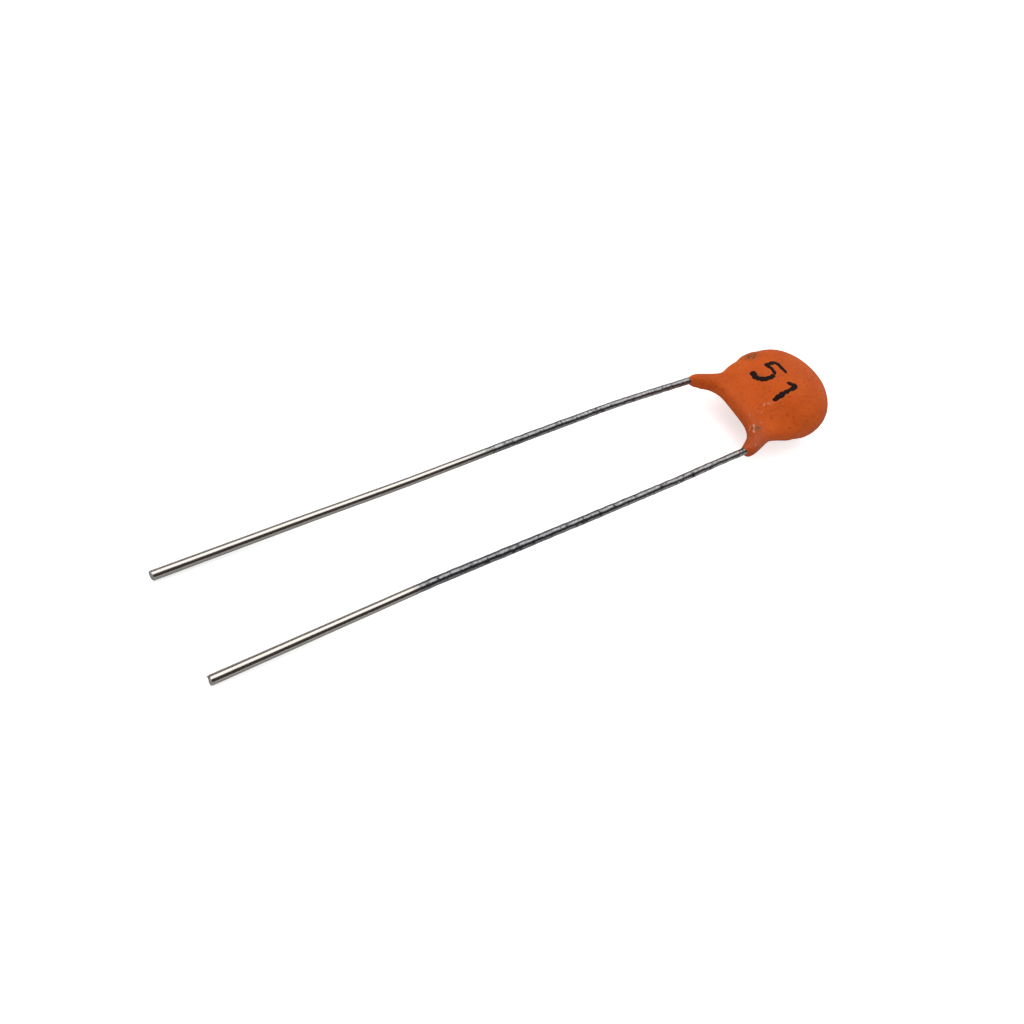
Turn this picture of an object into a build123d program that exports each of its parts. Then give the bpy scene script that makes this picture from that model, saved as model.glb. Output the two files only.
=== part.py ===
"""Dipped ceramic disc capacitor, lying on one face with its two wire leads along -X."""

import math
import os

from build123d import *

os.makedirs("parts", exist_ok=True)

# Ceramic disc and its silvered faces
ceramic_diameter = 4.2
ceramic_thickness = 1.2
ceramic_bevel = 0.1
electrode_margin = 0.3
electrode_thickness = 0.03

# Wire leads, one soldered to each face; pitch and offset are where they leave the coating
lead_diameter = 0.38
lead_pitch = 5.0
lead_offset = 0.11
front_lead_length = 27.95
back_lead_length = 28.2
lead_cut_angle = 14.0

# Solder that holds each wire to its silvered face
solder_film = 0.05
solder_length = 1.9
solder_side = 0.38
solder_rise_share = 0.87
solder_taper = 25.0

# Inside, a wire starts in its solder, steps off the ceramic's edge and lands between the faces
wire_end_cover = 0.23
wire_spread_share = 0.37
wire_leave_share = 0.78
wire_land_share = 0.905
wire_land_lift = 0.12
wire_bend_radius = 0.6

# Outside, each lead wavers: shares of its length, and of half the pitch
front_bend_shares = ((0.18, 0.972), (0.68, 0.848), (1.0, 0.85))
back_bend_shares = ((0.2, 1.026), (0.62, 0.918), (1.0, 0.848))
leg_bend_radius = 2.0
lead_wave_radius = 100.0

# Dipped coating over the disc: its cover at the rim and above the wires
rim_cover = 0.77
wire_cover = 0.54
rim_round_share = 0.9
leg_blend_radius = 2.2

# Legs of coating that ran down the wires, from the disc's rim to their tips
leg_length = 2.98
leg_cover = 0.22
leg_side_cover = 0.17
leg_edge_share = 0.27
leg_tip_share = 0.46

# Outline from disc to leg: along it, shares of the disc's radius, then of the leg's length
root_share = 0.15
root_width_share = 0.95
root_radius = 0.3
shoulder_share = 0.68
shoulder_width_share = 0.92
shoulder_radius = 1.0
waist_share = 0.215
waist_width_share = 0.81
waist_radius = 1.2
web_share = 0.46
web_width_share = 0.68
web_radius = 1.2

# Sizes that follow from those above
ceramic_radius = ceramic_diameter / 2
electrode_radius = ceramic_radius - electrode_margin
lead_radius = lead_diameter / 2
solder_width = lead_diameter + 2 * solder_side
solder_height = solder_film + solder_rise_share * lead_diameter
disc_radius = ceramic_radius + rim_cover
wire_lift = ceramic_thickness / 2 + electrode_thickness + solder_film + lead_radius
body_middle = wire_lift + lead_radius + wire_cover
rim_radius = rim_round_share * body_middle
leg_reach = disc_radius + leg_length
leg_thickness = lead_diameter + 2 * leg_cover
leg_width = lead_diameter + 2 * leg_side_cover
leg_tip_radius = leg_tip_share * leg_width
overall_length = disc_radius + leg_reach + max(front_lead_length, back_lead_length)

# Where each wire starts on the silver, measured from the disc's middle
wire_start = solder_length / 2 - wire_end_cover
wire_spread = wire_spread_share * ceramic_radius

# The disc's middle, with the whole length centred on the origin
disc_x = overall_length / 2 - disc_radius
disc_middle = (disc_x, 0, body_middle)
disc_plane = Plane(origin=disc_middle)
leg_plane = disc_plane.offset(-leg_thickness / 2)
section_plane = Plane(origin=disc_middle, x_dir=(1, 0, 0), z_dir=(0, -1, 0))

# Section of the coated disc: a shallow dome that runs smoothly into the round of the rim
rim_middle = disc_radius - rim_radius
dome_radius = (rim_middle**2 + body_middle**2 - rim_radius**2) / (2 * (body_middle - rim_radius))
meet_angle = math.asin(rim_middle / (dome_radius - rim_radius))

# Each lead: its name, the side of Y that it lies on, the face that it is soldered to
leads = (
    ("front", -1, 1, front_lead_length, front_bend_shares),
    ("back", 1, -1, back_lead_length, back_bend_shares),
)


def spot(along, across, lift):
    """Place a point measured from the middle of the disc."""
    return Vector(disc_x + along, across, body_middle + lift)


def face_plane(face):
    """The plane of one face of the ceramic, looking away from it."""
    origin = spot(0, 0, face * ceramic_thickness / 2)
    return Plane(origin=origin, x_dir=(1, 0, 0), z_dir=(0, 0, face))


def tip_across(side):
    """How far from the disc's centre line a wire leaves its leg."""
    return lead_pitch / 2 + side * lead_offset


def wire_toe(side):
    """Slope of a wire in plan, from its start on the silver to the leg's tip."""
    return (tip_across(side) - wire_spread) / (leg_reach + wire_start)


def wire_across(side, along):
    """How far from the centre line a wire runs, at a distance along X."""
    return wire_spread + (wire_start - along) * wire_toe(side)


def lead_route(side, face, length, bend_shares):
    """Corners of one lead, from its start on the silver to its cut end on the floor."""
    leave = -wire_leave_share * ceramic_radius
    land = -wire_land_share * disc_radius
    corners = [
        spot(wire_start, side * wire_spread, face * wire_lift),
        spot(leave, side * wire_across(side, leave), face * wire_lift),
        spot(land, side * wire_across(side, land), face * wire_land_lift),
        spot(-leg_reach, side * tip_across(side), 0),
    ]
    fall = body_middle - lead_radius
    for length_share, pitch_share in bend_shares:
        along = -leg_reach - length_share * length
        across = side * pitch_share * lead_pitch / 2 + lead_offset
        corners.append(spot(along, across, -length_share * fall))
    return corners


def half_outline(side):
    """Outline of one leg and half the web, from inside the disc round the leg to the web's corner."""
    toe = math.atan(wire_toe(side))
    swing_along = leg_width / 2 * math.sin(toe)
    swing_across = leg_width / 2 * math.cos(toe)
    corners = (
        (-root_share * disc_radius, root_width_share * disc_radius),
        (-shoulder_share * disc_radius, shoulder_width_share * disc_radius),
        (-disc_radius - waist_share * leg_length, waist_width_share * disc_radius),
        (-leg_reach + swing_along, tip_across(side) + swing_across),
        (-leg_reach - swing_along, tip_across(side) - swing_across),
        (-disc_radius - web_share * leg_length, web_width_share * (tip_across(side) - swing_across)),
    )
    return [(along, side * across) for along, across in corners]


def dome_point(angle, face=1):
    """A point of the dome on one face, at an angle from the disc's axis."""
    lift = body_middle - dome_radius * (1 - math.cos(angle))
    return (dome_radius * math.sin(angle), face * lift)


# Ceramic disc
with BuildPart() as ceramic_disc:
    with BuildSketch(disc_plane):
        Circle(ceramic_radius)
    extrude(amount=ceramic_thickness / 2, both=True)
    chamfer(ceramic_disc.edges().filter_by(GeomType.CIRCLE), length=ceramic_bevel)
ceramic_disc.part.label = "ceramic_disc"
export_step(ceramic_disc.part, "parts/ceramic_disc.step")
inner_pieces = [ceramic_disc.part]

for name, side, face, length, bend_shares in leads:
    # Silver fired on this face of the ceramic
    with BuildPart() as electrode:
        with BuildSketch(face_plane(face)):
            Circle(electrode_radius)
        extrude(amount=electrode_thickness)
    electrode.part.label = f"{name}_electrode"
    export_step(electrode.part, f"parts/{name}_electrode.step")

    # Wire lead, cut off aslant at its far end
    route = lead_route(side, face, length, bend_shares)
    cut_end = route[-1]
    last_run = (cut_end - route[-2]).normalized()
    bend_radii = [wire_bend_radius, wire_bend_radius, leg_bend_radius, lead_wave_radius, lead_wave_radius]
    with BuildPart() as lead:
        with BuildLine() as path:
            FilletPolyline(*route[:-1], cut_end + last_run * lead_diameter, radius=bend_radii)
        with BuildSketch(Plane(origin=path.line @ 0, x_dir=(0, 0, 1), z_dir=path.line % 0)):
            Circle(lead_radius)
        sweep(path=path.line)
        cut_facing = last_run.rotate(Axis.Z, side * lead_cut_angle)
        split(bisect_by=Plane(origin=cut_end, z_dir=cut_facing), keep=Keep.BOTTOM)
    lead.part.label = f"{name}_lead"
    export_step(lead.part, f"parts/{name}_lead.step")

    # Solder run round the wire where it lies on the silver
    with BuildPart() as solder:
        with BuildSketch(face_plane(face).offset(electrode_thickness)):
            with Locations((0, side * face * wire_across(side, 0))):
                turn = -side * face * math.degrees(math.atan(wire_toe(side)))
                SlotOverall(solder_length, solder_width, rotation=turn)
        extrude(amount=solder_height, taper=solder_taper)
        add(lead.part, mode=Mode.SUBTRACT)
    solder.part.label = f"{name}_solder"
    export_step(solder.part, f"parts/{name}_solder.step")
    inner_pieces += [electrode.part, lead.part, solder.part]

# Dipped coating: legs and web, joined to the domed disc, with room for all that it covers
outline = half_outline(1) + half_outline(-1)[::-1]
half_radii = [root_radius, shoulder_radius, waist_radius, leg_tip_radius, leg_tip_radius, web_radius]
with BuildPart() as coating:
    with BuildSketch(leg_plane):
        with BuildLine():
            FilletPolyline(*outline, radius=half_radii + half_radii[::-1], close=True)
        make_face()
    extrude(amount=leg_thickness)
    fillet(coating.edges().filter_by(Axis.Z, reverse=True), radius=leg_edge_share * leg_thickness)
    with BuildSketch(section_plane):
        with BuildLine():
            Line(dome_point(0, -1), dome_point(0))
            ThreePointArc(dome_point(0), dome_point(meet_angle / 2), dome_point(meet_angle))
            ThreePointArc(dome_point(meet_angle), (disc_radius, 0), dome_point(meet_angle, -1))
            ThreePointArc(dome_point(meet_angle, -1), dome_point(meet_angle / 2, -1), dome_point(0, -1))
        make_face()
    revolve(axis=Axis(disc_middle, (0, 0, 1)))
    fillet(coating.edges(Select.NEW), radius=leg_blend_radius)
    add(inner_pieces, mode=Mode.SUBTRACT)
coating.part.label = "coating"
export_step(coating.part, "parts/coating.step")
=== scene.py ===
"""Looks of a dipped ceramic disc capacitor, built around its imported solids.

Every length below is in millimetres, in the frame of the solids, and becomes metres in the meshes.
"""

import logging
import math
from dataclasses import dataclass
from enum import Enum, IntEnum
from typing import Any

import bmesh
import bpy
import numpy as np
from bmesh.types import BMesh, BMVert
from bpy.types import Material, Mesh, Node, NodeSocket, NodeTree, Object
from mathutils import Matrix, Vector, noise
from mathutils.bvhtree import BVHTree


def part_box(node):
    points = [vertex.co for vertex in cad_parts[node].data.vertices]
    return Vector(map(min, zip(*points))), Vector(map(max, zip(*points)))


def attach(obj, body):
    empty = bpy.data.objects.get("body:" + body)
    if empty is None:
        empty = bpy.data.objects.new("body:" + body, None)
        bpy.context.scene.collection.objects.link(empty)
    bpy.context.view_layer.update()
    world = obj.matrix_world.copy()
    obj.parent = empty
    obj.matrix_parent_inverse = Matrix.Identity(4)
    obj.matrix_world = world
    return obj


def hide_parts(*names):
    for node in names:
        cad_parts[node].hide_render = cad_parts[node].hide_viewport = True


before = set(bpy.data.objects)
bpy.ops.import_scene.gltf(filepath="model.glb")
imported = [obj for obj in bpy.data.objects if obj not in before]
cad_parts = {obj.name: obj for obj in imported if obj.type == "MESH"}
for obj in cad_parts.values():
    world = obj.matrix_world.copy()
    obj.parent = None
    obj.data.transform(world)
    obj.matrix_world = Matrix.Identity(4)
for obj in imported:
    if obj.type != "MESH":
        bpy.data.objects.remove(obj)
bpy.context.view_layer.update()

logging.basicConfig(level=logging.INFO, format="%(name)s: %(message)s")
LOG = logging.getLogger("capacitor")

MM = 0.001
BODY = "root"
UP = Vector((0, 0, 1))
DOWN = Vector((0, 0, -1))
WHITE = "#ffffff"
METAL = 1.0

# Middle of the range that a noise node covers
NOISE_MIDDLE = 0.5

# Sockets of a Mix node that carry colours: these share their names with others
COLOUR_A = 6
COLOUR_B = 7

Pairs = tuple[tuple[float, float], ...]
Ring = list[BMVert]
Array = np.ndarray


class Side(Enum):
    """The two leads, by the side of Y that each lies on."""

    FRONT = -1
    BACK = 1


class Fade(Enum):
    """How a pattern comes up from nothing to full."""

    EVEN = "LINEAR"
    SOFT = "SMOOTHSTEP"


class WireSlot(IntEnum):
    """Material slots of a lead."""

    TIN = 0
    CUT_FACE = 1
    CUT_EDGE = 2


class Rays(Enum):
    """Kinds of ray that a studio surface can be hidden from."""

    CAMERA = "visible_camera"
    DIFFUSE = "visible_diffuse"
    SHADOW = "visible_shadow"
    TRANSMISSION = "visible_transmission"


def linear(code: str) -> tuple[float, float, float, float]:
    """Turn an sRGB hex colour into linear red, green, blue and alpha.

    Args:
        code: the colour, such as "#c8602d".

    Returns:
        The linear colour with an alpha of one.
    """
    channels = [int(code[i : i + 2], 16) / 255 for i in (1, 3, 5)]
    # The sRGB standard's own curve: a straight foot, then a power
    red, green, blue = (c / 12.92 if c <= 0.04045 else ((c + 0.055) / 1.055) ** 2.4 for c in channels)
    return (red, green, blue, 1.0)


def add_node(
    tree: NodeTree, kind: str, inputs: dict[str | int, Any] | None = None, **settings: Any
) -> Node:
    """Add a node with its settings and links.

    Args:
        tree: the node tree that it joins.
        kind: the node's type, without the leading "ShaderNode".
        inputs: for each input socket, a value, or the node or output socket that feeds it.
        settings: attributes of the node.

    Returns:
        The new node.
    """
    node = tree.nodes.new("ShaderNode" + kind)
    for name, value in settings.items():
        setattr(node, name, value)
    for key, value in (inputs or {}).items():
        if isinstance(value, Node):
            value = next(socket for socket in value.outputs if socket.enabled)
        if isinstance(value, NodeSocket):
            tree.links.new(value, node.inputs[key])
        else:
            node.inputs[key].default_value = value
    return node


def new_material(name: str) -> tuple[Material, NodeTree]:
    """Make an empty node material.

    Args:
        name: the material's name.

    Returns:
        The material and its node tree.
    """
    material = bpy.data.materials.new(name)
    material.use_nodes = True
    material.node_tree.nodes.clear()
    return material, material.node_tree


def place_in_mm(tree: NodeTree) -> Node:
    """Give the surface's place in the part's frame, in millimetres."""
    metres = add_node(tree, "TexCoord").outputs["Object"]
    return add_node(tree, "VectorMath", {0: metres, "Scale": 1 / MM}, operation="SCALE")


def mesh_data(name: str, mesh: BMesh) -> Mesh:
    """Turn a mesh that was being edited into mesh data.

    Args:
        name: the data's name.
        mesh: the edited mesh, which is freed.

    Returns:
        The mesh data.
    """
    data = bpy.data.meshes.new(name)
    mesh.to_mesh(data)
    mesh.free()
    return data


def new_piece(name: str, mesh: Mesh, *materials: Material) -> Object:
    """Link a mesh, given in millimetres, to the scene as a smooth piece that rides on the part.

    Args:
        name: the piece's name.
        mesh: its mesh.
        materials: its materials, in slot order.

    Returns:
        The piece.
    """
    mesh.transform(Matrix.Scale(MM, 4))
    mesh.shade_smooth()
    mesh.materials.clear()
    for material in materials:
        mesh.materials.append(material)
    piece = bpy.data.objects.new(name, mesh)
    bpy.context.scene.collection.objects.link(piece)
    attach(piece, BODY)
    LOG.info("%s: %d vertices, %d faces", name, len(mesh.vertices), len(mesh.polygons))
    return piece


def bridge(mesh: BMesh, ring: Ring, following: Ring, slot: int = 0) -> None:
    """Join two rings of as many corners by a band of faces.

    Args:
        mesh: the mesh that holds them.
        ring: the corners of one ring.
        following: the corners of the next.
        slot: the material slot of the band.
    """
    for corner in range(len(ring)):
        near = (corner + 1) % len(ring)
        face = mesh.faces.new((ring[corner], ring[near], following[near], following[corner]))
        face.material_index = slot


def surface_of(pieces: list[Object]) -> BVHTree:
    """Gather the faces of some pieces, in millimetres, for finding what is near.

    Args:
        pieces: the pieces or solids.

    Returns:
        A search tree over their faces.
    """
    points: list[Vector] = []
    faces: list[list[int]] = []
    for piece in pieces:
        start = len(points)
        points += [vertex.co / MM for vertex in piece.data.vertices]
        faces += [[start + corner for corner in polygon.vertices] for polygon in piece.data.polygons]
    return BVHTree.FromPolygons(points, faces)


def nearest_on(surface: BVHTree, points: Array) -> tuple[Array, Array]:
    """Find the nearest place on a surface to each point.

    Args:
        surface: the faces to search.
        points: the points.

    Returns:
        The nearest places, and the distances to them.
    """
    found = [surface.find_nearest(Vector(point)) for point in points]
    return np.array([near[0] for near in found]), np.array([near[3] for near in found])


def ease(value: Array | float, low: float, high: float) -> Array:
    """Rise smoothly from 0 at one value to 1 at another."""
    share = np.clip((np.asarray(value, float) - low) / (high - low), 0, 1)
    return share * share * (3 - 2 * share)


def distances_along(points: Array) -> Array:
    """Measure how far along a line each of its points lies."""
    return np.concatenate([[0], np.cumsum(np.linalg.norm(np.diff(points, axis=0), axis=1))])


def resampled(points: Array, distances: Array) -> Array:
    """Find the points that lie at some distances along a line."""
    known = distances_along(points)
    return np.stack([np.interp(distances, known, values) for values in points.T], axis=1)


@dataclass(frozen=True)
class Pattern:
    """A noise pattern: the size of its blots, how finely it breaks up, and where it starts and is full."""

    size: float
    octaves: float
    low: float
    high: float
    cover: float = 1.0
    fade: Fade = Fade.EVEN

    def draw(self, tree: NodeTree, place: Node) -> tuple[Node, Node]:
        """Draw the pattern on a surface.

        Args:
            tree: the material's node tree.
            place: the surface's place in millimetres.

        Returns:
            The noise itself, and the share of the surface that the pattern covers.
        """
        blots = add_node(tree, "TexNoise", {"Vector": place, "Scale": 1 / self.size, "Detail": self.octaves})
        limits = {"Value": blots, "From Min": self.low, "From Max": self.high, "To Max": self.cover}
        return blots, add_node(tree, "MapRange", limits, interpolation_type=self.fade.value)


# Phenolic resin full of mineral powder, dipped in several coats and baked. The eye gets a satin orange
# skin, faintly clouded and specked, with the relief of orange peel, and glossier where it runs thinly down
# the legs; the legs' darker tone, the front one's most, is painted shade.
@dataclass(frozen=True)
class DippedResin:
    """Filled phenolic resin, dipped in several coats and cured."""

    body: str = "#c4541a"
    pale: str = "#cc5c20"
    deep: str = "#b84c17"
    grain: str = "#8f3614"
    # Darker tone down the legs, strongest on the front one: painted shade
    leg_shade_and_film: str = "#a9471a"
    # Pale tint of the painted glints along the ridge
    painted_glint: str = "#d9a68c"
    smudge: str = "#6a4a30"
    # Clouds where the coats lie thicker
    clouds: Pattern = Pattern(1.1, 4.0, 0.35, 0.68, fade=Fade.SOFT)
    # Mineral filler: its grains are about 0.02 across, and are drawn coarser so that they show
    grains: Pattern = Pattern(0.14, 3.0, 0.3, 0.62)
    specks: Pattern = Pattern(0.17, 2.0, 0.6, 0.74, cover=0.8)
    # Smudges, broken up by the same noise as the grains
    smudges: Pattern = Pattern(0.14, 3.0, 0.42, 0.62)
    # Painted glints: pale streaks along the ridge over the wire, painted where light catches its flank. The
    # turn of their noise in plan, in radians, and its size along, across and up
    painted_glints: Pattern = Pattern(1.0, 2.0, 0.6, 0.74)
    painted_glint_turn: float = 0.75
    painted_glint_size: tuple[float, float, float] = (0.4, 0.1, 0.1)
    # Orange peel
    peel_size: float = 0.22
    peel_octaves: float = 3.0
    peel_depth: float = 0.008
    # Gloss, which follows the noise of the grains, and the glossier film where the resin runs thinly down
    # the legs
    gloss_range: tuple[float, float] = (0.25, 0.75)
    roughness_range: tuple[float, float] = (0.44, 0.62)
    refraction: float = 1.55
    specular: float = 0.06
    thin_roughness: float = 0.3
    thin_gloss: float = 0.13
    thin_gloss_roughness: float = 0.2

    def colour(self, tree: NodeTree, place: Node, grained: Node, leg_shade_and_film: NodeSocket) -> Node:
        """Layer the colour: clouds, grains and specks, then the painted shade down the legs, painted glints
        along the ridge, and smudges.

        Args:
            tree: the material's node tree.
            place: the surface's place in millimetres.
            grained: the share that the filler's grains cover.
            leg_shade_and_film: how far down the legs it lies, for their painted shade and glossier film.

        Returns:
            The node that gives the colour.
        """
        turned = {"Vector": place, "Rotation": (0, 0, self.painted_glint_turn), "Scale": self.painted_glint_size}
        strokes = add_node(tree, "Mapping", turned, vector_type="TEXTURE")
        layers = [
            (self.clouds.draw(tree, place)[1], self.pale),
            (grained, self.body),
            (self.specks.draw(tree, place)[1], self.grain),
            # Painted shade down the legs
            (leg_shade_and_film, self.leg_shade_and_film),
        ]
        # Painted glints along the ridge, then smudges
        marks = (("painted_glints_on_ridge", self.painted_glints, strokes, self.painted_glint), ("smudged", self.smudges, place, self.smudge))
        for mark, pattern, spot, tint in marks:
            where = add_node(tree, "Attribute", attribute_name=mark).outputs["Fac"]
            patch = pattern.draw(tree, spot)[1]
            layers.append((add_node(tree, "Math", {0: where, 1: patch}, operation="MULTIPLY"), tint))
        colour = linear(self.deep)
        for cover, tint in layers:
            sockets = {"Factor": cover, COLOUR_A: colour, COLOUR_B: linear(tint)}
            colour = add_node(tree, "Mix", sockets, data_type="RGBA")
        return colour

    def material(self) -> Material:
        """Make the material: the layered colour, a satin gloss and the relief of orange peel.

        Returns:
            The material.
        """
        material, tree = new_material("dipped phenolic resin")
        place = place_in_mm(tree)
        leg_shade_and_film = add_node(tree, "Attribute", attribute_name="leg_shade_and_film").outputs["Fac"]
        fine, grained = self.grains.draw(tree, place)
        low, high = self.gloss_range
        smooth, rough = self.roughness_range
        limits = {"Value": fine, "From Min": low, "From Max": high, "To Min": smooth, "To Max": rough}
        satin = add_node(tree, "MapRange", limits)
        sockets = {"Factor": leg_shade_and_film, "A": satin, "B": self.thin_roughness}
        roughness = add_node(tree, "Mix", sockets, data_type="FLOAT")
        film = add_node(tree, "Math", {0: leg_shade_and_film, 1: self.thin_gloss}, operation="MULTIPLY")
        blisters = {"Vector": place, "Scale": 1 / self.peel_size, "Detail": self.peel_octaves}
        peel = add_node(tree, "TexNoise", blisters)
        relief = add_node(tree, "Bump", {"Height": peel, "Distance": self.peel_depth * MM, "Strength": 1.0})
        look = {
            "Base Color": self.colour(tree, place, grained, leg_shade_and_film),
            "Roughness": roughness,
            "IOR": self.refraction,
            "Specular IOR Level": self.specular,
            "Coat Weight": film,
            "Coat Roughness": self.thin_gloss_roughness,
            "Normal": relief,
        }
        add_node(tree, "OutputMaterial", {"Surface": add_node(tree, "BsdfPrincipled", look)})
        return material


# Copper-clad steel, drawn through dies and hot tinned. The eye gets bright metal with fine lines along it,
# and a greyer, lumpier and spotted stretch where the heat of soldering and baking reached the tin.
@dataclass(frozen=True)
class TinnedWire:
    """Drawn copper-clad steel wire, hot tinned: bright, but dulled and speckled near the body."""

    # Where along X the tin starts to dull, and is dull
    dull_from: float
    dull_to: float
    bright: str = "#bdbab4"
    dull: str = "#86898d"
    stain: str = "#4a4541"
    # Paler tin beside the body, and where along X it starts and is palest
    near_body: str = "#b2b3b4"
    near_from: float = -4.0
    near_to: float = 6.0
    # Lines left by the die: about 0.01 wide, and drawn coarser so that they show
    streak_length: float = 2.4
    streak_width: float = 0.045
    streak_octaves: float = 3.0
    streak_depth: float = 0.0012
    # Spots and lumps of the dull stretch
    specks: Pattern = Pattern(0.2, 4.0, 0.52, 0.68)
    lump_depth: float = 0.02
    bright_roughness: float = 0.2
    dull_roughness: float = 0.24
    speck_roughness: float = 0.15

    def material(self) -> Material:
        """Make the material: drawing lines along X, and a duller, speckled finish towards the body.

        Returns:
            The material.
        """
        material, tree = new_material("hot tinned copper clad steel")
        place = place_in_mm(tree)
        along = add_node(tree, "SeparateXYZ", {0: place})
        limits = {"Value": along, "From Min": self.dull_from, "From Max": self.dull_to}
        aged = add_node(tree, "MapRange", limits, interpolation_type=Fade.SOFT.value)
        limits = {"Value": along, "From Min": self.near_from, "From Max": self.near_to}
        near = add_node(tree, "MapRange", limits)
        stretch = (1 / self.streak_length, 1 / self.streak_width, 1 / self.streak_width)
        lines = add_node(tree, "VectorMath", {0: place, 1: stretch}, operation="MULTIPLY")
        drawn = add_node(tree, "TexNoise", {"Vector": lines, "Scale": 1.0, "Detail": self.streak_octaves})
        specks, spots = self.specks.draw(tree, place)
        spotted = add_node(tree, "Math", {0: spots, 1: aged}, operation="MULTIPLY")
        sockets = {"Factor": near, COLOUR_A: linear(self.dull), COLOUR_B: linear(self.near_body)}
        dulled = add_node(tree, "Mix", sockets, data_type="RGBA")
        colour = linear(self.bright)
        for cover, tint in ((aged, dulled), (spotted, linear(self.stain))):
            sockets = {"Factor": cover, COLOUR_A: colour, COLOUR_B: tint}
            colour = add_node(tree, "Mix", sockets, data_type="RGBA")
        limits = {"Value": aged, "To Min": self.bright_roughness, "To Max": self.dull_roughness}
        even = add_node(tree, "MapRange", limits)
        terms = {0: spotted, 1: self.speck_roughness, 2: even}
        roughness = add_node(tree, "Math", terms, operation="MULTIPLY_ADD")
        lumps = add_node(tree, "Math", {0: specks, 1: aged}, operation="MULTIPLY")
        terms = {0: lumps, 1: self.lump_depth / self.streak_depth, 2: drawn}
        height = add_node(tree, "Math", terms, operation="MULTIPLY_ADD")
        relief = add_node(
            tree, "Bump", {"Height": height, "Distance": self.streak_depth * MM, "Strength": 1.0}
        )
        look = {"Base Color": colour, "Metallic": METAL, "Roughness": roughness, "Normal": relief}
        add_node(tree, "OutputMaterial", {"Surface": add_node(tree, "BsdfPrincipled", look)})
        return material


@dataclass(frozen=True)
class PlainFinish:
    """A finish of one material with two close shades and a fine grain."""

    name: str
    light: str
    dark: str
    grain_size: float
    grain_depth: float
    roughness: float
    metallic: float = 0.0
    specular: float = 0.5
    # How far from its middle the noise of the grain reaches the full shade and roughness
    spread: float = 0.15
    rough_spread: float = 0.2
    rough_swing: float = 0.08
    octaves: float = 5.0

    def material(self) -> Material:
        """Make the material: two shades clouded together, and a bump of the same grain.

        Returns:
            The material.
        """
        material, tree = new_material(self.name)
        low, high = NOISE_MIDDLE - self.spread, NOISE_MIDDLE + self.spread
        grain, shade = Pattern(self.grain_size, self.octaves, low, high).draw(tree, place_in_mm(tree))
        sockets = {"Factor": shade, COLOUR_A: linear(self.dark), COLOUR_B: linear(self.light)}
        colour = add_node(tree, "Mix", sockets, data_type="RGBA")
        low, high = NOISE_MIDDLE - self.rough_spread, NOISE_MIDDLE + self.rough_spread
        smooth, rough = self.roughness - self.rough_swing, self.roughness + self.rough_swing
        limits = {"Value": grain, "From Min": low, "From Max": high, "To Min": smooth, "To Max": rough}
        roughness = add_node(tree, "MapRange", limits)
        height = {"Height": grain, "Distance": self.grain_depth * MM, "Strength": 1.0}
        relief = add_node(tree, "Bump", height)
        look = {
            "Base Color": colour,
            "Metallic": self.metallic,
            "Specular IOR Level": self.specular,
            "Roughness": roughness,
            "Normal": relief,
        }
        add_node(tree, "OutputMaterial", {"Surface": add_node(tree, "BsdfPrincipled", look)})
        return material


# Each plain finish has its name, light and dark shades, the size and depth of its grain, and its roughness

# Sheared end of the wire: a torn steel face, greyer and rougher than the tin round it
CUT_FACE = PlainFinish("sheared steel core", "#c2b8a6", "#4a423b", 0.13, 0.012, 0.42, METAL, spread=0.07)
# Edge of the sheared end: copper and tin smeared over by the blade, brown and dull
CUT_EDGE = PlainFinish("smeared copper cladding", "#6a564a", "#33291f", 0.1, 0.004, 0.45, METAL)
# Stamping ink: carbon black, matt, a little brown where it lies thinly, with blots as coarse as the stamp's
STAMP_INK = PlainFinish("carbon black stamping ink", "#23130f", "#100908", 0.12, 0.004, 0.7, specular=0.1)
# Barium titanate: a fired ceramic, buff and matt. Its grains are under 0.01, and are drawn coarser to show
FIRED_CERAMIC = PlainFinish("fired barium titanate", "#cdbd9b", "#b39f7c", 0.08, 0.003, 0.62)
# Silver paste fired on: white metal with the faint grain of the print screen
FIRED_SILVER = PlainFinish("fired silver", "#dedbd3", "#c3bfb6", 0.1, 0.002, 0.42, METAL)
# Soft solder: bright, with a frosty grain
SOFT_SOLDER = PlainFinish("soft solder", "#c6c6c4", "#a3a4a4", 0.18, 0.004, 0.3, METAL)


class Neighbours:
    """Which vertices of a mesh share an edge."""

    def __init__(self, mesh: Mesh) -> None:
        """Read the mesh's edges, each both ways round.

        Args:
            mesh: the mesh.
        """
        edges = np.empty(len(mesh.edges) * 2, dtype=np.int64)
        mesh.edges.foreach_get("vertices", edges)
        pairs = edges.reshape(-1, 2)
        self.near, self.far = np.concatenate([pairs, pairs[:, ::-1]]).T
        self.total = len(mesh.vertices)
        self.count = np.bincount(self.near, minlength=self.total)[:, None]

    def pull(self, points: Array) -> Array:
        """Find the way from each point to the mean of its neighbours.

        Args:
            points: a place for each vertex.

        Returns:
            For each vertex, the step to that mean.
        """
        sums = [np.bincount(self.near, points[self.far, k], self.total) for k in range(3)]
        return np.stack(sums, axis=1) / self.count - points


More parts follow.
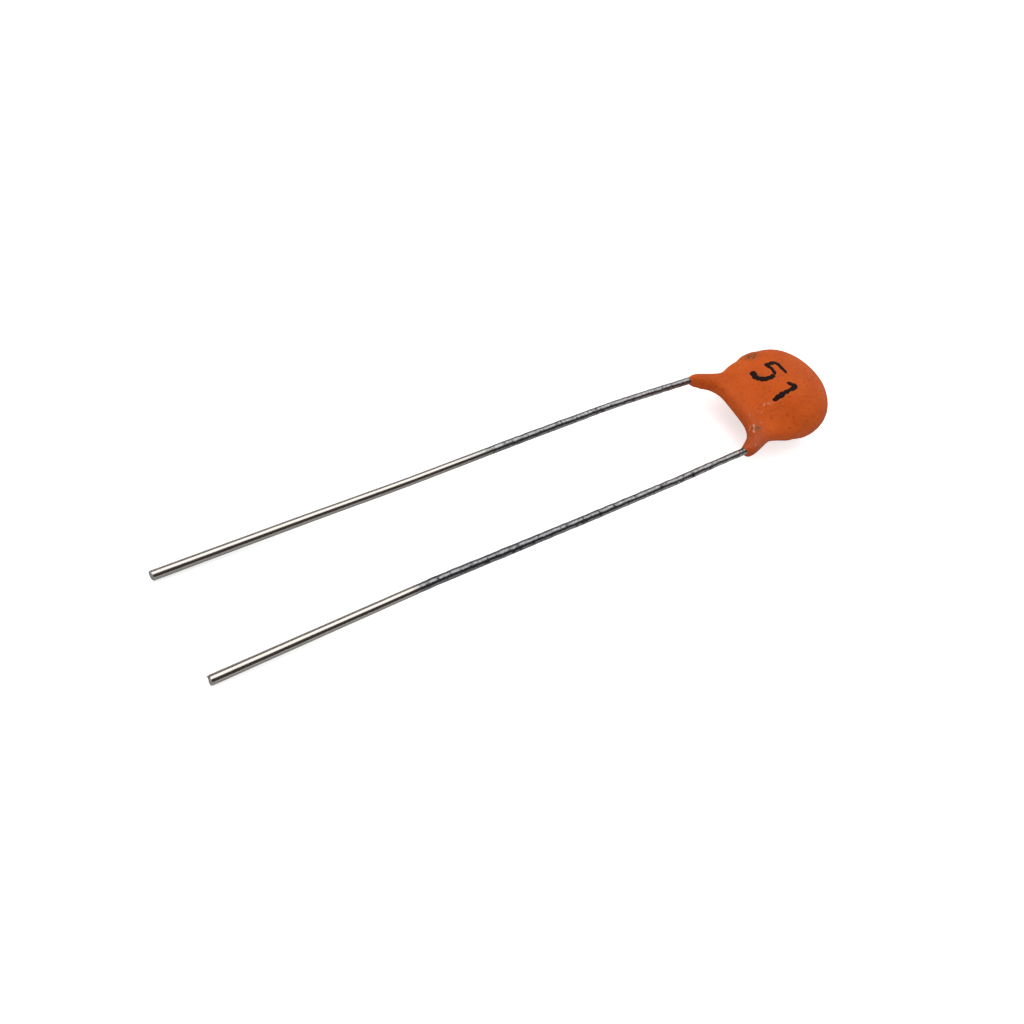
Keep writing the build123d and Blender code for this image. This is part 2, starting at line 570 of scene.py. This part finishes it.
@dataclass
class Coating:
    """The dipped skin over the disc, with the legs and web where the resin ran down the wires.

    A place in plan is measured from the middle of the disc: along X, with the legs on the minus side, and
    across, along Y.
    """

    middle: Vector
    # Fine even mesh: a pull in and a push out by turns smooth it without shrinking it
    voxel: float = 0.05
    smoothing_steps: tuple[float, float] = (0.6, -0.62)
    smoothing_rounds: int = 45
    # Rolled edges of the web and legs, by distance from the disc's middle
    rolling_step: float = 0.5
    rolling_rounds: int = 110
    roll_from: float = 1.4
    roll_to: float = 3.2
    # Lumps and ripples of the dried resin
    lump_size: float = 1.5
    lump_height: float = 0.022
    ripple_size: float = 0.5
    ripple_height: float = 0.006
    # Distance from what is covered at which the skin starts to move, and moves freely
    skin_from: float = 0.03
    skin_to: float = 0.16
    # Ridge over the wire under the upper face
    ridge_path: Pairs = ((-5.3, -2.15), (-4.6, -1.5), (-3.6, -0.75), (-2.3, -0.75))
    ridge_height: float = 0.05
    ridge_width: float = 0.3
    # Smudges: the place in plan and the reach of each, and the share of it that is darkest
    smudges: tuple[tuple[float, float, float], ...] = (
        (-1.2, 2.4, 0.55),
        (-4.3, -1.6, 0.4),
        (-2.2, 0.95, 0.3),
    )
    smudge_core_share: float = 0.2
    # Full shoulders: the place in plan, the height and the reach of each
    swells: tuple[tuple[float, float, float, float], ...] = (
        (-1.05, 2.62, 0.19, 0.5),
        (-2.4, 2.6, 0.06, 0.6),
        (-1.5, -2.8, 0.05, 0.6),
    )
    # Legs: where they start and end, how far they sag, and the back one's share of the painted shade and
    # film beside the front one
    leg_from: float = 3.2
    leg_to: float = 5.0
    leg_sag: float = 0.06
    leg_blend: float = 1.4
    back_leg_shade_share: float = 0.25
    # Lips where the resin wets the wires, and how each leans: its place across and its slope
    lip_from: float = 5.1
    lip_to: float = 5.5
    lip_reach: float = 0.16
    lip_creep: float = 0.12
    lip_half_width: float = 1.0
    lip_leans: Pairs = ((-2.35, -0.1), (2.53, 0.4))
    # Lowest place of the skin, just clear of the floor
    lowest: float = 0.002

    def remeshed(self) -> Mesh:
        """Rebuild the solid's faceted mesh as a fine even one, in millimetres.

        Returns:
            The even mesh.
        """
        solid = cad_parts["coating"].data.copy()
        solid.transform(Matrix.Scale(1 / MM, 4))
        holder = bpy.data.objects.new("coating_remesh", solid)
        bpy.context.scene.collection.objects.link(holder)
        remesh = holder.modifiers.new("even", "REMESH")
        remesh.mode = "VOXEL"
        remesh.voxel_size = self.voxel
        bpy.context.view_layer.update()
        mesh = bpy.data.meshes.new_from_object(holder.evaluated_get(bpy.context.evaluated_depsgraph_get()))
        bpy.data.objects.remove(holder)
        bpy.data.meshes.remove(solid)
        return mesh

    def plan(self, points: Array) -> Array:
        """Measure points in plan from the middle of the disc."""
        return points[:, :2] - np.array(self.middle)[:2]

    def smoothed(self, mesh: Mesh, inside: BVHTree) -> Array:
        """Even out the facets without shrinking the form, then roll the edges of the web and legs.

        Args:
            mesh: the remeshed coating.
            inside: the faces of what it covers, where the skin stays as it is.

        Returns:
            The smoothed points.
        """
        points = np.empty(len(mesh.vertices) * 3)
        mesh.vertices.foreach_get("co", points)
        points = points.reshape(-1, 3)
        neighbours = Neighbours(mesh)
        for step in self.smoothing_steps * self.smoothing_rounds:
            points = points + step * neighbours.pull(points)
        depth = nearest_on(inside, points)[1]
        roll = ease(-self.plan(points)[:, 0], self.roll_from, self.roll_to)
        roll *= ease(depth, self.skin_from, self.skin_to)
        for _ in range(self.rolling_rounds):
            points = points + self.rolling_step * roll[:, None] * neighbours.pull(points)
        return points

    def beside_ridge(self, points: Array) -> Array:
        """How near each point is, in plan, to the line of the wire under the upper face.

        Args:
            points: points of the skin.

        Returns:
            One on the line, falling to nothing a few widths away.
        """
        plan = self.plan(points)
        nearest = np.full(len(points), np.inf)
        path = np.array(self.ridge_path)
        for start, end in zip(path[:-1], path[1:]):
            run = end - start
            share = np.clip((plan - start) @ run / (run @ run), 0, 1)
            nearest = np.minimum(nearest, np.linalg.norm(plan - start - share[:, None] * run, axis=1))
        return np.exp(-((nearest / self.ridge_width) ** 2)) * (points[:, 2] > self.middle.z)

    def smudged(self, points: Array) -> Array:
        """How far each point lies in one of the smudges on the upper face.

        Args:
            points: points of the skin.

        Returns:
            One in the middle of a smudge, nothing outside them.
        """
        cover = np.zeros(len(points))
        for along, across, reach in self.smudges:
            away = np.linalg.norm(self.plan(points) - (along, across), axis=1)
            cover = np.maximum(cover, 1 - ease(away, self.smudge_core_share * reach, reach))
        return cover * (points[:, 2] > self.middle.z)

    def leg_shade_and_film_cover(self, points: Array) -> Array:
        """How far down the legs each point lies, for their painted shade and glossier film.

        Args:
            points: points of the skin.

        Returns:
            Nothing on the disc, one at the front leg's tip and less at the back one's.
        """
        along, across = self.plan(points).T
        towards_back = ease(across, -self.leg_blend, self.leg_blend)
        return ease(-along, self.leg_from, self.leg_to) * (1 - (1 - self.back_leg_shade_share) * towards_back)

    def swollen(self, points: Array, normals: Array, inside: BVHTree) -> Array:
        """Give the skin its lumps, ripples, ridge, full shoulders, sagging legs and wetted lips.

        Args:
            points: the smoothed points.
            normals: the skin's normals there.
            inside: the faces of what it covers.

        Returns:
            The moved points.
        """
        nearest, depth = nearest_on(inside, points)
        plan = self.plan(points)
        down_leg = -plan[:, 0]
        lumps = np.array([noise.noise(Vector(point) / self.lump_size) for point in points])
        ripples = np.array([noise.noise(Vector(point) / self.ripple_size) for point in points])
        lift = self.lump_height * lumps + self.ripple_height * ripples
        lift += self.ridge_height * self.beside_ridge(points)
        for along, across, height, reach in self.swells:
            away = np.linalg.norm(plan - (along, across), axis=1)
            lift += height * np.exp(-((away / reach) ** 2))
        skin = ease(depth, self.skin_from, self.skin_to)
        moved = points + normals * (lift * skin)[:, None]
        moved[:, 1] -= self.leg_sag * skin * ease(down_leg, self.leg_from, self.leg_to)
        at_tip = ease(down_leg, self.lip_from, self.lip_to)
        wet = at_tip * (1 - ease(depth, 0, self.lip_reach))
        moved += (nearest - moved) * wet[:, None]
        moved[:, 0] -= self.lip_creep * wet
        for across, lean in self.lip_leans:
            aside = plan[:, 1] - across
            moved[:, 0] -= lean * aside * (at_tip * (np.abs(aside) < self.lip_half_width))
        moved[:, 2] = np.maximum(moved[:, 2], self.lowest)
        return moved

    def move_to(self, points: Array, mesh: Mesh) -> Array:
        """Move the mesh's vertices to new points.

        Args:
            points: a place for each vertex.
            mesh: the coating's mesh.

        Returns:
            The skin's normals there.
        """
        mesh.vertices.foreach_set("co", points.ravel())
        mesh.update()
        normals = np.empty(points.size)
        mesh.vertices.foreach_get("normal", normals)
        return normals.reshape(-1, 3)

    def build(self, finish: DippedResin, wires: list[Object]) -> Object:
        """Build the skin and mark the painted glints along the ridge, the smudges, and the legs' painted
        shade and glossier film.

        Args:
            finish: the resin's finish.
            wires: the pieces of the two leads.

        Returns:
            The piece that stands for the coating.
        """
        inside = surface_of(wires + [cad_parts[name] for name, _ in InnerPieces.finishes])
        mesh = self.remeshed()
        points = self.smoothed(mesh, inside)
        points = self.swollen(points, self.move_to(points, mesh), inside)
        self.move_to(points, mesh)
        # Masks: painted glints along the ridge, smudges, and the legs' painted shade and film
        marks = {
            "painted_glints_on_ridge": self.beside_ridge(points),
            "smudged": self.smudged(points),
            "leg_shade_and_film": self.leg_shade_and_film_cover(points),
        }
        for name, values in marks.items():
            layer = mesh.attributes.new(name, "FLOAT", "POINT")
            layer.data.foreach_set("value", values.astype(np.float32))
        piece = new_piece("dipped_coating", mesh, finish.material())
        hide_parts("coating")
        return piece


@dataclass
class Lead:
    """One wire lead, from its solder on the ceramic to its sheared end.

    Angles are in degrees, and places along and across are measured from the middle of the disc.
    """

    side: Side
    middle: Vector
    # Bare length, and its bends: a share of that length, and a share of half the pitch
    length: float
    bend_shares: Pairs
    # How far the bare wire strays to +Y, at shares of its length
    drift: Pairs
    # How far the sheared face turns in plan, and the height of its burr
    cut_turn: float
    burr: float
    radius: float = 0.19
    # Where the wires leave the legs
    pitch: float = 5.0
    offset: float = 0.11
    leg_reach: float = 5.85
    # Inside, the wire starts on the silver, leaves the ceramic's face and lands between the faces
    start: float = 0.72
    start_across: float = 0.777
    start_lift: float = 0.87
    leave: float = 1.638
    land: float = 2.597
    land_lift: float = 0.12
    bend_radii: tuple[float, ...] = (0.6, 0.6, 2.0, 100.0, 20.0)
    # Mesh: rings along the wire, corners round it, and the rings over which the drift is smoothed
    ring_spacing: float = 0.12
    least_bend_steps: int = 4
    corners_round: int = 36
    drift_rings: int = 8
    crease: float = 30.0
    # Dents of handling, which the bias turns inwards, and lumps of tin where it is dull
    dent_size: float = 0.9
    dent: float = 0.0025
    dent_bias: float = 0.5
    tin_size: float = 0.32
    tin_lump: float = 0.016
    # Sheared end: its tilt, rolled edge, burr on one side and torn face, with shares of radius and edge
    cut_rise: float = 4.0
    edge_round: float = 0.035
    edge_bulge_share: float = 0.7
    face_share: float = 0.62
    face_bulge_share: float = 0.4
    tear_share: float = 0.3
    tear_size_share: float = 0.4
    burr_turn: float = 158.0
    burr_sharpness: int = 4

    @property
    def name(self) -> str:
        """The lead's node."""
        return f"{self.side.name.lower()}_lead"

    @property
    def turns(self) -> list[float]:
        """The angle of each corner round the wire, in radians."""
        return [2 * math.pi * corner / self.corners_round for corner in range(self.corners_round)]

    def route(self) -> list[Vector]:
        """Work out the corners of the wire's centre line, as the solid has them.

        Returns:
            The corners, from the silver to the sheared end.
        """
        side = self.side.value
        face = -side
        tip = self.pitch / 2 + side * self.offset
        toe = (tip - self.start_across) / (self.leg_reach + self.start)
        corners = [
            (self.start, self.start_across, face * self.start_lift),
            (-self.leave, self.start_across + (self.start + self.leave) * toe, face * self.start_lift),
            (-self.land, self.start_across + (self.start + self.land) * toe, face * self.land_lift),
            (-self.leg_reach, tip, 0.0),
        ]
        fall = self.middle.z - self.radius
        for length_share, pitch_share in self.bend_shares:
            across = pitch_share * self.pitch / 2 + side * self.offset
            corners.append((-self.leg_reach - length_share * self.length, across, -length_share * fall))
        return [self.middle + Vector((along, side * across, lift)) for along, across, lift in corners]

    def line(self) -> Array:
        """Round each corner of the centre line to its bend radius.

        Returns:
            Evenly spaced points along the line.
        """
        corners = self.route()
        points = [corners[0]]
        for before, corner, after, radius in zip(corners, corners[1:], corners[2:], self.bend_radii):
            back = (before - corner).normalized()
            ahead = (after - corner).normalized()
            half = (math.pi - back.angle(ahead)) / 2
            reach = radius * math.tan(half)
            centre = corner + (back + ahead).normalized() * (radius / math.cos(half))
            spoke = corner + back * reach - centre
            axis = back.cross(ahead).normalized()
            steps = max(self.least_bend_steps, math.ceil(2 * half * radius / self.ring_spacing))
            for step in range(steps + 1):
                points.append(centre + Matrix.Rotation(-2 * half * step / steps, 3, axis) @ spoke)
        points.append(corners[-1])
        return self.spaced(np.array(points))

    def spaced(self, points: Array) -> Array:
        """Space points evenly along a line, with the bare stretch left to drift a little.

        Args:
            points: the line's points.

        Returns:
            Evenly spaced points from end to end.
        """
        total = distances_along(points)[-1]
        line = resampled(points, np.linspace(0, total, round(total / self.ring_spacing)))
        bare = (self.middle.x - self.leg_reach - line[:, 0]) / self.length
        shares, offsets = np.array(self.drift).T
        drift = np.pad(np.interp(bare, shares, offsets), self.drift_rings, mode="edge")
        window = 2 * self.drift_rings + 1
        line[:, 1] += np.convolve(drift, np.full(window, 1 / window), mode="valid")
        return line

    def section(self, centre: Vector, forward: Vector, tin: float) -> list[Vector]:
        """Work out the wire's nearly round section at one place.

        Args:
            centre: the section's middle.
            forward: the way that the wire runs there.
            tin: the height of the lumps of tin there.

        Returns:
            The corners, measured from the middle.
        """
        level = UP.cross(forward).normalized()
        rise = forward.cross(level)
        corners = []
        for turn in self.turns:
            spoke = level * math.cos(turn) + rise * math.sin(turn)
            spot = centre + spoke * self.radius
            dent = self.dent * (noise.noise(spot / self.dent_size) - self.dent_bias)
            lump = tin * noise.noise(spot / self.tin_size)
            corners.append(spoke * (self.radius + dent + lump))
        return corners

    def close_end(self, mesh: BMesh, rim: Ring, centre: Vector, cut: Vector) -> None:
        """Close the sheared end: a rolled edge, a burr on one side and a torn face.

        Args:
            mesh: the wire's mesh.
            rim: its last ring.
            centre: the middle of the end.
            cut: the way that the sheared face looks.
        """
        edge_share = 1 - self.edge_round / self.radius
        burr_at = math.radians(self.burr_turn)
        bands = (
            (WireSlot.CUT_EDGE, edge_share, self.edge_bulge_share, self.burr),
            (WireSlot.CUT_FACE, self.face_share, self.face_bulge_share, 0.0),
        )
        outer = rim
        for slot, size_share, bulge_share, burr in bands:
            inner = []
            for turn, vertex in zip(self.turns, rim):
                lip = burr * max(0.0, math.cos(turn - burr_at)) ** self.burr_sharpness
                tear = noise.noise(vertex.co / (self.tear_size_share * self.radius))
                out = bulge_share * self.edge_round + lip + self.tear_share * self.edge_round * tear
                inner.append(mesh.verts.new(centre + (vertex.co - centre) * size_share + cut * out))
            bridge(mesh, outer, inner, slot)
            outer = inner
        mesh.faces.new(outer).material_index = WireSlot.CUT_FACE

    def build(self, finish: TinnedWire) -> Object:
        """Sweep the wire's section along its line and close its two ends.

        Args:
            finish: the wire's finish.

        Returns:
            The piece that stands for the lead.
        """
        line = self.line()
        runs = np.gradient(line, axis=0)
        runs /= np.linalg.norm(runs, axis=1)[:, None]
        tins = self.tin_lump * ease(line[:, 0], finish.dull_from, finish.dull_to)
        sections = [self.section(Vector(spot), Vector(run), tin) for spot, run, tin in zip(line, runs, tins)]
        last = Vector(runs[-1])
        tilt = Matrix.Rotation(math.radians(self.cut_rise), 3, "Y")
        cut = Matrix.Rotation(math.radians(self.cut_turn), 3, "Z") @ tilt @ last
        # The last section slides along the wire onto the sheared plane
        sections[-1] = [corner - last * (corner.dot(cut) / last.dot(cut)) for corner in sections[-1]]
        mesh = bmesh.new()
        rings = [
            [mesh.verts.new(Vector(spot) + corner) for corner in section]
            for spot, section in zip(line, sections)
        ]
        for ring, following in zip(rings, rings[1:]):
            bridge(mesh, ring, following, WireSlot.TIN)
        mesh.faces.new(rings[0][::-1])
        self.close_end(mesh, rings[-1], Vector(line[-1]), cut)
        mesh.normal_update()
        data = mesh_data(self.name + "_wire", mesh)
        materials = (finish.material(), CUT_FACE.material(), CUT_EDGE.material())
        piece = new_piece(self.name + "_wire", data, *materials)
        data.set_sharp_from_angle(angle=math.radians(self.crease))
        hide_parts(self.name)
        return piece


@dataclass
class StampedNumber:
    """A plain two-figure number stamped on the upper face, with broken, blotted strokes.

    The figures stand with their feet towards the legs, and are placed in plan from the middle of the disc.
    """

    middle: Vector
    foot: float = -2.35
    height: float = 1.7
    width: float = 0.9
    first_left: float = 1.4
    second_left: float = -0.1
    # Half the width of a stroke, and the share by which blots widen and narrow it
    stroke: float = 0.14
    blot_share: float = 0.5
    blot_size: float = 0.17
    blot_layer: float = 3.0
    # Film of ink: its height on the skin, how far it sinks in, and the share of that at its edge
    thickness: float = 0.014
    sink: float = 0.012
    edge_sink_share: float = 0.2
    # Mesh: spacing of rows along a stroke, rows added for its round ends, and ribs across it
    step: float = 0.018
    end_rows: int = 8
    rib_shares: tuple[float, ...] = (-1.0, -0.8, -0.4, 0.0, 0.4, 0.8, 1.0)
    least_run: float = 1e-6
    tip_opening: float = 0.002
    cast_height: float = 10.0
    # Each corner of a stroke is cut back by this share of its sides, and the new ones again
    corner_cut_share: float = 0.25
    rounding: int = 3
    # Strokes of the figures: shares of the width from the left and of the height from the foot
    five: tuple[Pairs, ...] = (
        ((0.98, 0.97), (0.5, 0.99), (0.08, 0.95), (0.06, 0.62)),
        ((0.1, 0.56), (0.42, 0.62), (0.78, 0.55)),
        ((0.93, 0.42), (0.95, 0.24), (0.74, 0.06), (0.36, 0.0), (0.04, 0.1)),
    )
    one: tuple[Pairs, ...] = (
        ((0.12, 0.74), (0.5, 0.98), (0.52, 0.66)),
        ((0.53, 0.52), (0.54, 0.4)),
        ((0.55, 0.28), (0.57, 0.0)),
    )

    def centre_line(self, corners: Array) -> tuple[Array, Array, Array]:
        """Round a stroke's corners and run its ends out by half its width.

        Args:
            corners: the stroke's corners in plan.

        Returns:
            Points along the stroke, the way that it runs at each, and how far each is into a round end.
        """
        for _ in range(self.rounding):
            shares = (1 - self.corner_cut_share, self.corner_cut_share)
            cuts = [corners[:-1] * share + corners[1:] * (1 - share) for share in shares]
            corners = np.concatenate([corners[:1], np.stack(cuts, axis=1).reshape(-1, 2), corners[-1:]])
        total = distances_along(corners)[-1]
        rows = round(total / self.step) + self.end_rows
        reached = np.linspace(-self.stroke, total + self.stroke, rows)
        inner = np.clip(reached, 0, total)
        centres = resampled(corners, inner)
        runs = np.gradient(centres, axis=0)
        runs[0] = corners[1] - corners[0]
        runs[-1] = corners[-1] - corners[-2]
        for index in range(1, len(runs) - 1):
            if np.linalg.norm(runs[index]) < self.least_run:
                runs[index] = runs[0] if reached[index] < 0 else runs[-1]
        runs /= np.linalg.norm(runs, axis=1)[:, None]
        past = reached - inner
        return centres + runs * past[:, None], runs, np.abs(past) / self.stroke

    def lay(self, mesh: BMesh, surface: BVHTree, corners: Array) -> None:
        """Lay one blotted stroke as a thin closed film that follows the skin.

        Args:
            mesh: the ink's mesh.
            surface: the skin under it.
            corners: the stroke's corners in plan.
        """
        rows: list[Ring] = []
        for centre, run, into_end in zip(*self.centre_line(corners)):
            across = np.array((-run[1], run[0]))
            fullness = max(0.0, 1 - into_end**2)
            top: Ring = []
            under: Ring = []
            for share in self.rib_shares:
                side = 1 if share >= 0 else -1
                blot = noise.noise(Vector((*(centre + across * side), self.blot_layer)) / self.blot_size)
                reach = self.stroke * (1 + self.blot_share * blot) * math.sqrt(fullness + self.tip_opening)
                spot = centre + across * share * reach
                hit = surface.ray_cast(Vector((*spot, self.cast_height)), DOWN)[0]
                rise = self.thickness * math.sqrt(max(0.0, 1 - share**2)) * math.sqrt(fullness)
                top.append(mesh.verts.new(hit + UP * (rise - self.edge_sink_share * self.sink)))
                if abs(share) < 1:
                    under.append(mesh.verts.new(hit - UP * self.sink))
            rows.append(top + under[::-1])
        for row, following in zip(rows, rows[1:]):
            bridge(mesh, row, following)
        mesh.faces.new(rows[0][::-1])
        mesh.faces.new(rows[-1])

    def build(self, skin: Object) -> Object:
        """Lay the strokes of both figures on the skin.

        Args:
            skin: the coating's piece.

        Returns:
            The ink's piece.
        """
        surface = surface_of([skin])
        mesh = bmesh.new()
        for left, strokes in ((self.first_left, self.five), (self.second_left, self.one)):
            for stroke in strokes:
                plan = np.array([(self.foot + v * self.height, left - u * self.width) for u, v in stroke])
                self.lay(mesh, surface, plan + np.array(self.middle)[:2])
        piece = new_piece("stamped_number", mesh_data("stamped_number", mesh), STAMP_INK.material())
        return piece


@dataclass
class InnerPieces:
    """What the coating seals in: these keep their solids and get their finishes."""

    finishes: tuple[tuple[str, PlainFinish], ...] = (
        ("ceramic_disc", FIRED_CERAMIC),
        ("front_electrode", FIRED_SILVER),
        ("back_electrode", FIRED_SILVER),
        ("front_solder", SOFT_SOLDER),
        ("back_solder", SOFT_SOLDER),
    )

    def dress(self) -> None:
        """Give each inner solid the material of its finish."""
        made = {finish.name: finish.material() for _, finish in self.finishes}
        for name, finish in self.finishes:
            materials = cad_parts[name].data.materials
            materials.clear()
            materials.append(made[finish.name])
            LOG.info("%s: %s", name, finish.name)


@dataclass(frozen=True)
class Card:
    """A card that only reflections see. Its lean is from overhead towards -Y, in degrees."""

    name: str
    tone: str
    lean: float
    width: float
    height: float


@dataclass
class Studio:
    """White paper, one softbox above and behind, dark cards that give the wire its bands, and the camera."""

    # Paper: its tone and glow for the camera and for reflections
    floor_size: float = 900.0
    floor_tone: float = 0.8
    floor_tone_in_metal: float = 0.45
    floor_glow: float = 0.6
    floor_glow_in_metal: float = 0.0
    # Even light from all round, stronger from one side
    fill_from: tuple[float, float, float] = (-0.85, 0.5, 0.0)
    fill_least: float = 0.46
    fill_most: float = 0.95
    background: float = 1.0
    softbox_size: tuple[float, float] = (230.0, 190.0)
    softbox_distance: float = 165.0
    softbox_lean: float = 24.0
    softbox_power: float = 0.142
    card_distance: float = 150.0
    cards: tuple[Card, ...] = (
        Card("front_card", "#483c39", lean=45.0, width=700.0, height=215.0),
        Card("back_card", "#7d655c", lean=-68.0, width=700.0, height=90.0),
    )
    # Camera: its roll in degrees, and its lens as the focal length in pixels of the square picture
    camera_place: Vector = Vector((-23.629, -10.047, 26.39))
    camera_aim: Vector = Vector((-4.496, -0.557, 0.8))
    camera_roll: float = 36.08
    focal_pixels: float = 775.0
    image_pixels: float = 1024.0
    sensor: float = 36.0

    def seen_rays(self, tree: NodeTree, camera: float, metal: float, other: float | Node) -> Node:
        """Give a strength by the kind of ray that asks for it.

        Args:
            tree: the node tree.
            camera: strength for the camera.
            metal: strength for reflections and for light through glass.
            other: strength for all else.

        Returns:
            The node that gives the strength.
        """
        path = add_node(tree, "LightPath").outputs
        rays = {0: path["Is Glossy Ray"], 1: path["Is Transmission Ray"]}
        mirrored = add_node(tree, "Math", rays, operation="MAXIMUM")
        unseen = add_node(tree, "MapRange", {"Value": mirrored, "To Min": other, "To Max": metal})
        sockets = {"Factor": path["Is Camera Ray"], "A": unseen, "B": camera}
        return add_node(tree, "Mix", sockets, data_type="FLOAT")

    def world(self) -> None:
        """Light the scene evenly, with white where the background shows."""
        world = bpy.data.worlds.new("studio")
        world.use_nodes = True
        tree = world.node_tree
        tree.nodes.clear()
        look = add_node(tree, "TexCoord").outputs["Generated"]
        towards = add_node(tree, "VectorMath", {0: look, 1: self.fill_from}, operation="DOT_PRODUCT")
        # The product runs from -1, looking away from the stronger side, to 1, looking at it
        limits = {"From Min": -1.0, "From Max": 1.0, "To Min": self.fill_least, "To Max": self.fill_most}
        fill = add_node(tree, "MapRange", {"Value": towards, **limits})
        strength = self.seen_rays(tree, self.background, self.background, fill)
        light = add_node(tree, "Background", {"Color": linear(WHITE), "Strength": strength})
        add_node(tree, "OutputWorld", {"Surface": light})
        bpy.context.scene.world = world

    def sheet(self, name: str, size: tuple[float, float], matrix: Matrix, material: Material) -> Object:
        """Make a flat studio surface that isn't part of the object.

        Args:
            name: its name.
            size: its width and height.
            matrix: its place, in millimetres.
            material: its material.

        Returns:
            The surface.
        """
        width, height = size
        mesh = bmesh.new()
        corners = [
            mesh.verts.new(matrix @ Vector((x * width / 2, y * height / 2, 0)) * MM)
            for x, y in ((-1, -1), (1, -1), (1, 1), (-1, 1))
        ]
        mesh.faces.new(corners)
        data = mesh_data(name, mesh)
        data.materials.append(material)
        surface = bpy.data.objects.new(name, data)
        bpy.context.scene.collection.objects.link(surface)
        return surface

    def floor(self) -> None:
        """Lay white paper under the part: white to the camera, with the part's soft shadow."""
        material, tree = new_material("white paper")
        tone = self.seen_rays(tree, self.floor_tone, self.floor_tone_in_metal, self.floor_tone)
        paper = add_node(tree, "BsdfDiffuse", {"Color": tone})
        strength = self.seen_rays(tree, self.floor_glow, self.floor_glow_in_metal, 0.0)
        glow = add_node(tree, "Emission", {"Color": linear(WHITE), "Strength": strength})
        both = add_node(tree, "AddShader", {0: paper, 1: glow})
        add_node(tree, "OutputMaterial", {"Surface": both})
        self.sheet("floor", (self.floor_size, self.floor_size), Matrix.Identity(4), material)

    def stand(self, card: Card) -> None:
        """Stand a card where only reflections see it.

        Args:
            card: the card.
        """
        material, tree = new_material(card.name)
        glow = add_node(tree, "Emission", {"Color": linear(card.tone), "Strength": 1.0})
        add_node(tree, "OutputMaterial", {"Surface": glow})
        turn = Matrix.Rotation(math.radians(card.lean), 4, "X")
        place = turn @ Matrix.Translation((0, 0, self.card_distance))
        surface = self.sheet(card.name, (card.width, card.height), place, material)
        for rays in Rays:
            setattr(surface, rays.value, False)

    def softbox(self) -> None:
        """Hang the softbox over the part, leaning back from the camera."""
        light = bpy.data.lights.new("softbox", "AREA")
        light.shape = "RECTANGLE"
        light.size, light.size_y = (size * MM for size in self.softbox_size)
        light.energy = self.softbox_power
        holder = bpy.data.objects.new("softbox", light)
        turn = Matrix.Rotation(math.radians(-self.softbox_lean), 4, "X")
        holder.matrix_world = turn @ Matrix.Translation((0, 0, self.softbox_distance * MM))
        bpy.context.scene.collection.objects.link(holder)

    def camera(self) -> None:
        """Set the camera at the photograph's place, aim, roll and lens."""
        data = bpy.data.cameras.new("camera")
        data.sensor_width = self.sensor
        data.lens = self.sensor * self.focal_pixels / self.image_pixels
        data.clip_start = MM
        ahead = (self.camera_aim - self.camera_place).normalized()
        level = ahead.cross(UP).normalized()
        roll = math.radians(self.camera_roll)
        right = level * math.cos(roll) + level.cross(ahead) * math.sin(roll)
        turn = Matrix((right, right.cross(ahead), -ahead)).transposed().to_4x4()
        holder = bpy.data.objects.new("camera", data)
        holder.matrix_world = Matrix.Translation(self.camera_place * MM) @ turn
        bpy.context.scene.collection.objects.link(holder)
        bpy.context.scene.camera = holder

    def build(self) -> None:
        """Set up the paper, light, cards, camera and view."""
        bpy.context.scene.view_settings.view_transform = "Standard"
        self.world()
        self.floor()
        self.softbox()
        for card in self.cards:
            self.stand(card)
        self.camera()


def disc_middle() -> Vector:
    """Find the middle of the coated disc from its ceramic, in millimetres."""
    low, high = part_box("ceramic_disc")
    return (low + high) / 2 / MM


def main() -> None:
    """Build and dress every piece, then set up the studio."""
    middle = disc_middle()
    LOG.info("disc middle at %s mm", tuple(round(value, 3) for value in middle))
    front = Lead(
        side=Side.FRONT,
        middle=middle,
        length=27.95,
        bend_shares=((0.18, 0.972), (0.68, 0.848), (1.0, 0.85)),
        drift=((-0.05, 0.0), (0.0, 0.06), (0.1, 0.04), (0.22, 0.0), (0.4, -0.025), (1.0, -0.025)),
        cut_turn=-4.0,
        burr=0.07,
    )
    back = Lead(
        side=Side.BACK,
        middle=middle,
        length=28.2,
        bend_shares=((0.2, 1.026), (0.62, 0.918), (1.0, 0.848)),
        drift=(
            (-0.05, 0.0), (0.0, -0.08), (0.08, -0.045), (0.2, -0.02), (0.4, 0.0), (0.65, -0.03), (0.8, 0.0)
        ),
        cut_turn=5.0,
        burr=0.02,
    )
    wires = [
        front.build(TinnedWire(dull_from=-10.6, dull_to=-9.9)),
        back.build(TinnedWire(dull_from=-6.5, dull_to=-1.5)),
    ]
    skin = Coating(middle).build(DippedResin(), wires)
    StampedNumber(middle).build(skin)
    InnerPieces().dress()
    Studio().build()


if __name__ == "__main__":
    main()
